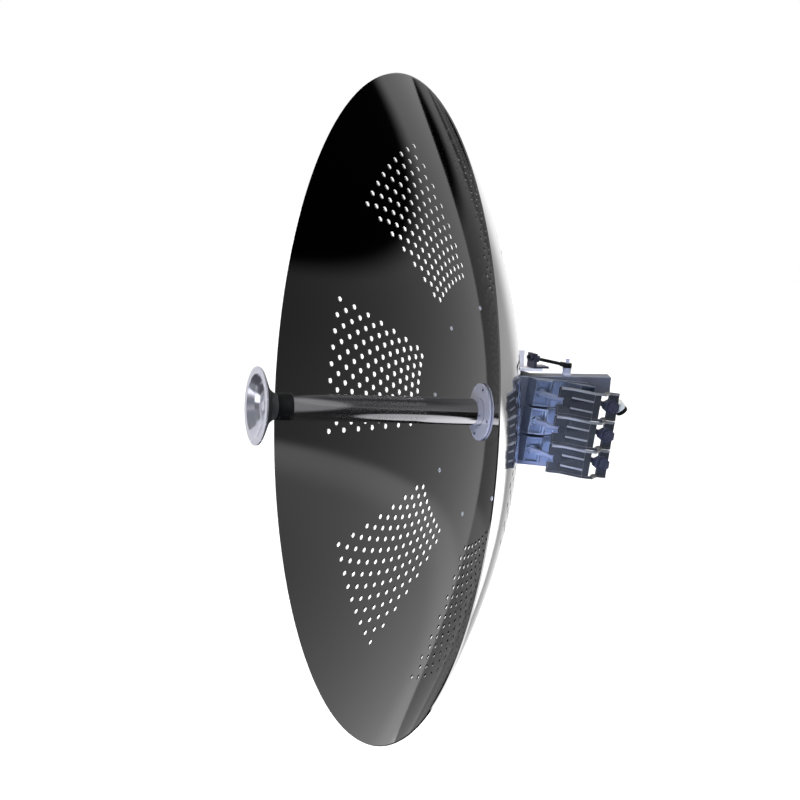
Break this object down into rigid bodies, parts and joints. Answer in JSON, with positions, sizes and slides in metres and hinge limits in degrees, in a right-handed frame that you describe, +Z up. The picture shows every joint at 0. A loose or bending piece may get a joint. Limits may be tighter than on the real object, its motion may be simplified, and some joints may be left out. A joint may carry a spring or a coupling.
{
  "type": "dish antenna",
  "caption": "Parabolic dish antenna with a perforated metal bowl, a central feed tube with a round sub-reflector, and an offset pole bracket with clamps, tilt and swing joints.",
  "frame": {"origin": "centre of the flat seat at the bottom of the middle jaw's V, where the pole rests", "axes": "+Z up along the pole, +X from the jaws towards the pole, -Y the way the dish looks"},
  "size_m": [1.1926, 0.6797, 1.1944],
  "materials": {
    "mirror": "polished, near mirror",
    "chrome": "polished",
    "black": "satin black",
    "silver": "bright, spun",
    "zinc": "zinc plated",
    "casting": "blue-grey, satin",
    "clamp": "charcoal, satin",
    "steel": "dark plated",
    "white": "pale grey, satin"
  },
  "bodies": {
    "bracket": {"mount_plate": "casting", "jaw_upper": "casting", "jaw_middle": "casting", "jaw_lower": "casting", "clamp_upper": "clamp", "clamp_middle": "clamp", "clamp_lower": "clamp", "clamp_bolt_upper_front": "steel", "clamp_bolt_upper_rear": "steel", "clamp_bolt_middle_front": "steel", "clamp_bolt_middle_rear": "steel", "clamp_bolt_lower_front": "steel", "clamp_bolt_lower_rear": "steel", "earth_terminal": "zinc"},
    "yoke": {"yoke_plate": "casting", "arm_upper": "casting", "arm_lower": "casting", "azimuth_pin_upper": "steel", "azimuth_pin_lower": "steel", "elevation_pin": "steel", "lock_bolt": "steel", "adjuster_post": "white", "adjuster_rod": "black"},
    "dish": {"reflector": "mirror", "feed_flange": "silver", "feed_tube": "chrome", "feed_collar": "black", "feed_cone": "black", "subreflector": "silver", "backing_plate": "zinc", "hub_bracket": "white", "feed_socket": "silver", "connector_upper": "silver", "connector_lower": "silver", "adjuster_lug": "steel", "rod_nut_front": "steel", "rod_nut_rear": "steel"}
  },
  "joints": [
    {"name": "elevation", "type": "hinge", "parent": "bracket", "child": "yoke", "pos_m": [-0.0662, 0.0529, -0.05002], "axis": [1, 0, 0], "range_deg": [-7, 3]},
    {"name": "azimuth", "type": "hinge", "parent": "yoke", "child": "dish", "pos_m": [-0.0862, -0.0332, 0.0001], "axis": [0, -0.0941, 0.9956], "range_deg": [-4, 4]}
  ]
}
